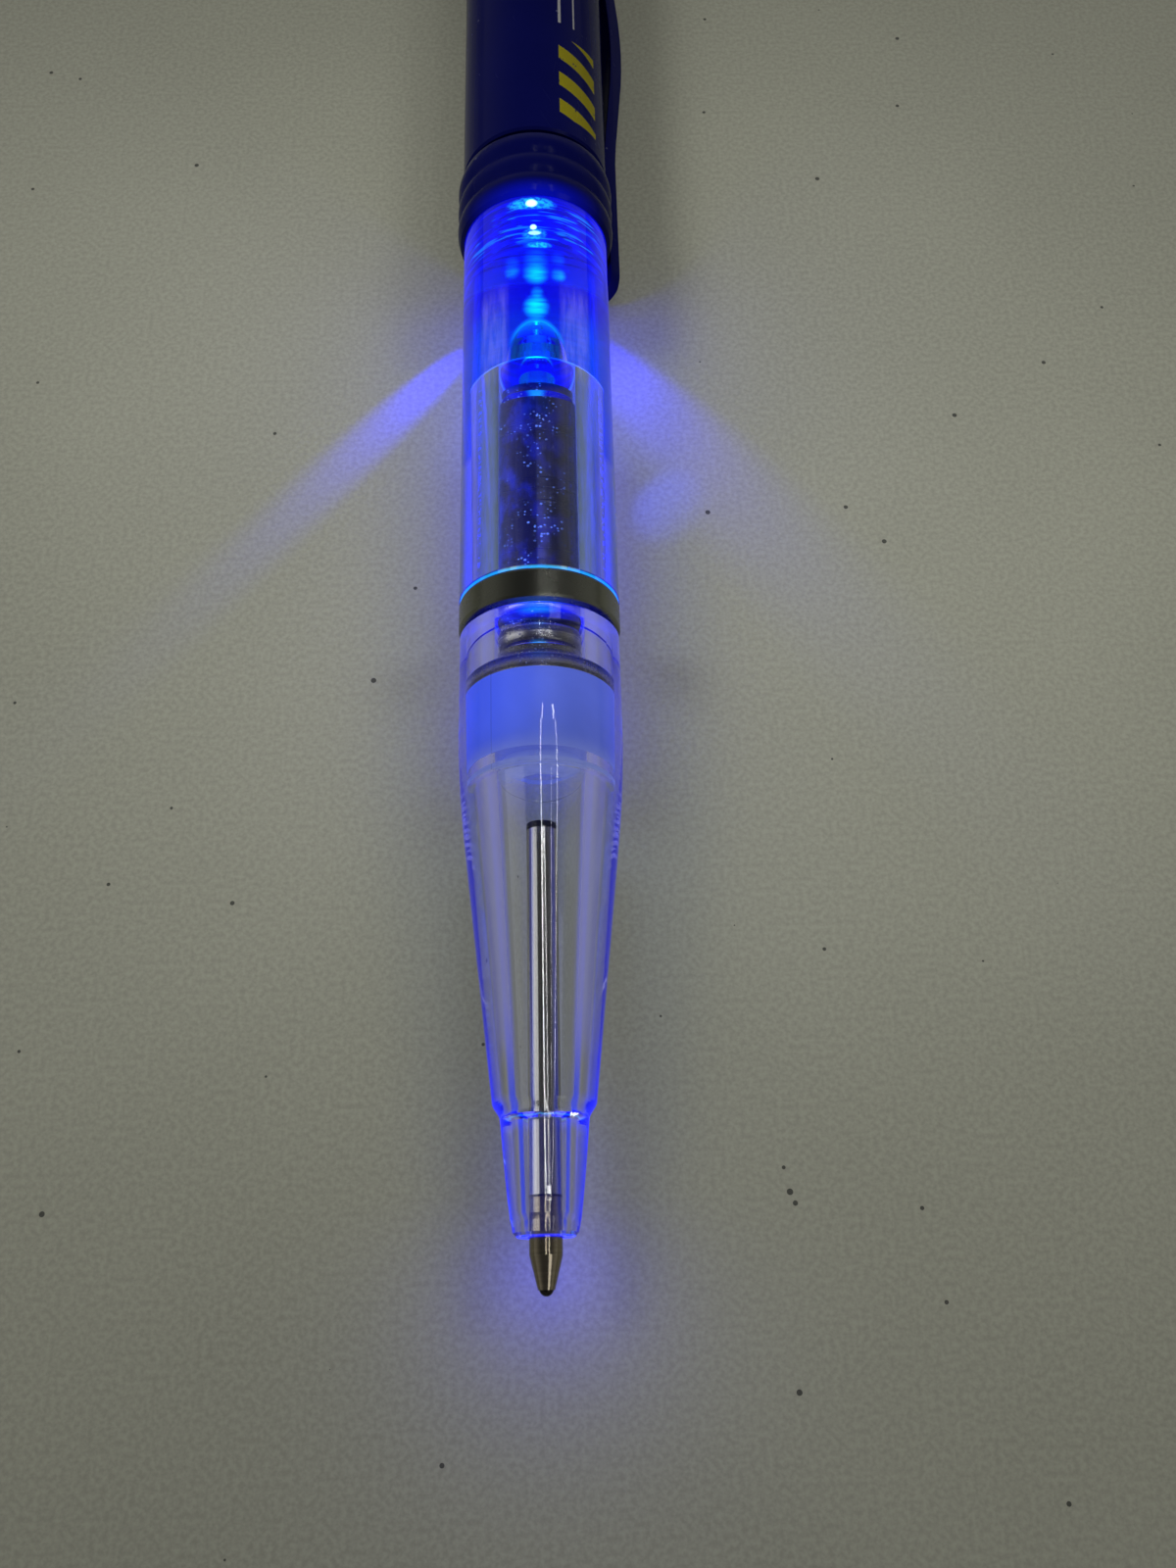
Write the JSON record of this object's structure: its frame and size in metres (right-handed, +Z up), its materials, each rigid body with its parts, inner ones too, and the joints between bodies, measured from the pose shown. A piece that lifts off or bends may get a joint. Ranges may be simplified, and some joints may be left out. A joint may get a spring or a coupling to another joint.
{
  "type": "light-up ballpoint pen",
  "caption": "Twist ballpoint pen with a clear tapered grip, a lit clear middle section, chrome ring, ribbed collar, blue barrel with spring clip and push-button lamp switch.",
  "frame": {"origin": "on the table under the middle of the lying pen's box", "axes": "+Y along the pen from the writing tip to the button, +Z up from the table, the clip lies towards +X and down"},
  "size_m": [0.0162, 0.148, 0.0144],
  "materials": {
    "clear_plastic": "clear, polished",
    "blue_plastic": "dark blue, glossy",
    "milky_plastic": "translucent white",
    "frosted_plastic": "translucent, slightly cloudy",
    "chrome": "bright plating",
    "dark_metal": "grey, satin",
    "cam_metal": "turned",
    "refill_metal": "drawn tube",
    "point_metal": "turned nickel silver",
    "ball": "inked",
    "steel": "spring steel",
    "contact_metal": "bright",
    "cell_metal": "nickel-plated can",
    "holder_plastic": "moulded white",
    "insulator": "moulded black",
    "lamp_resin": "clear resin, lit",
    "lamp_light": "lit chip"
  },
  "bodies": {
    "pen_body": {"trim_ring": "chrome", "light_guide": "clear_plastic", "twist_housing": "dark_metal", "twist_cap": "dark_metal", "cam_sleeve": "cam_metal", "ribbed_collar": "blue_plastic", "barrel_shell": "blue_plastic", "clip": "blue_plastic", "end_cap": "blue_plastic", "lamp_holder": "holder_plastic", "lamp_lens": "lamp_resin", "lamp_leads": "steel", "lamp_chip": "lamp_light", "front_contact": "contact_metal", "contact_spring": "steel", "battery_sleeve": "insulator", "contact_strip": "contact_metal", "battery_cell_front": "cell_metal", "battery_cell_middle": "cell_metal", "battery_cell_rear": "cell_metal", "switch_ring": "contact_metal", "button_spring": "steel"},
    "grip": {"grip_shell": "clear_plastic", "drive_sleeve": "milky_plastic", "twist_nose": "dark_metal", "snap_ring": "steel"},
    "refill": {"refill_carrier": "frosted_plastic", "follower_pin": "steel", "refill_tube": "refill_metal", "refill_point": "point_metal", "writing_ball": "ball"},
    "button": {"push_button": "blue_plastic", "contact_tip": "contact_metal"}
  },
  "joints": [
    {"name": "grip_twist", "type": "hinge", "parent": "pen_body", "child": "grip", "pos_m": [-0.00089, 0, 0.0072], "axis": [0, 1, 0], "range_deg": [0, 180]},
    {"name": "refill_slide", "type": "slide", "parent": "grip", "child": "refill", "axis": [0, 1, 0], "range_m": [0, 0.005]},
    {"name": "button_press", "type": "slide", "parent": "pen_body", "child": "button", "axis": [0, -1, 0], "range_m": [0, 0.0012], "stiffness_N_per_m": 400, "springref_m": -0.0015, "deforming": ["button_spring"]}
  ],
  "couplings": [
    {"joint": "grip_twist", "follows": "refill_slide", "rad_per_m": 628.32}
  ]
}
